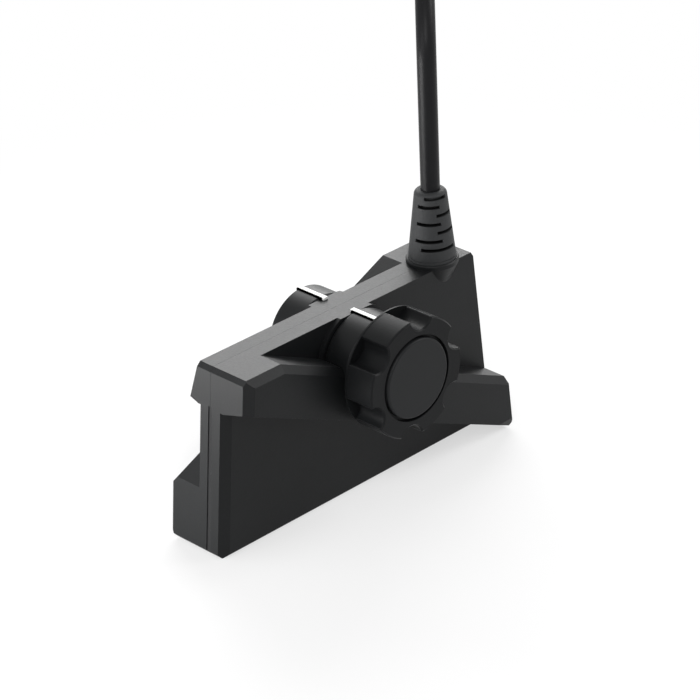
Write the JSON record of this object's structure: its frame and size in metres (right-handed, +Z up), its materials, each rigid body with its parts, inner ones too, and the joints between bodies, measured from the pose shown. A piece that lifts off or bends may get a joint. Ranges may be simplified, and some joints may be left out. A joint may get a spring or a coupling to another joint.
{
  "type": "sonar transducer",
  "caption": "Flat wedge-ended sonar transducer body with diagonal wings, a central pivot hub with a fluted clamp knob, and a moulded lead with its plug.",
  "frame": {"origin": "on the underside of the body, at mid length, in the plane where the two half housings meet", "axes": "+X along the body towards the end with the lead, -Y towards the hand knob, +Z up"},
  "size_m": [0.1856, 0.1069, 0.1756],
  "materials": {
    "shell": "satin",
    "gasket": "matt",
    "hub_ring": "satin",
    "index_mark": "satin",
    "seal": "matt",
    "window": "satin",
    "ceramic": "matt",
    "backing": "matt",
    "board": "satin",
    "chip": "matt",
    "header": "satin",
    "sleeve": "machined",
    "washer": "satin",
    "knob": "satin",
    "knob_cap": "satin",
    "steel": "bright",
    "relief": "matt",
    "lead": "satin",
    "wire": "satin",
    "ferrule": "bright",
    "tie": "woven",
    "plug": "satin",
    "plug_metal": "bright",
    "contact": "plated"
  },
  "bodies": {
    "housing": {"array_headers": "header", "board_chips": "chip", "far_high_backing": "backing", "far_high_ceramic": "ceramic", "far_high_window": "window", "far_housing": "shell", "far_hub_ring": "hub_ring", "far_hub_seal": "seal", "far_index_mark": "index_mark", "far_low_backing": "backing", "far_low_ceramic": "ceramic", "far_low_window": "window", "hank_tie": "tie", "hub_sleeve": "sleeve", "lead": "lead", "lead_end": "lead", "lead_ferrule": "ferrule", "lead_hank": "lead", "lead_inner": "lead", "lead_wires": "wire", "main_board": "board", "near_high_backing": "backing", "near_high_ceramic": "ceramic", "near_high_window": "window", "near_housing": "shell", "near_hub_ring": "hub_ring", "near_hub_seal": "seal", "near_index_mark": "index_mark", "near_low_backing": "backing", "near_low_ceramic": "ceramic", "near_low_window": "window", "plug_body": "plug", "plug_contacts": "contact", "plug_ring": "plug", "plug_shell": "plug_metal", "seam_gasket": "gasket", "strain_relief": "relief", "thrust_washer": "washer"},
    "hand_knob": {"knob": "knob", "knob_cap": "knob_cap", "pivot_stud": "steel", "stud_clip": "steel"}
  },
  "joints": [
    {"name": "knob_turn", "type": "hinge", "parent": "housing", "child": "hand_knob", "pos_m": [0, -0.0277, 0.0524], "axis": [0, -1, 0], "continuous": true}
  ]
}
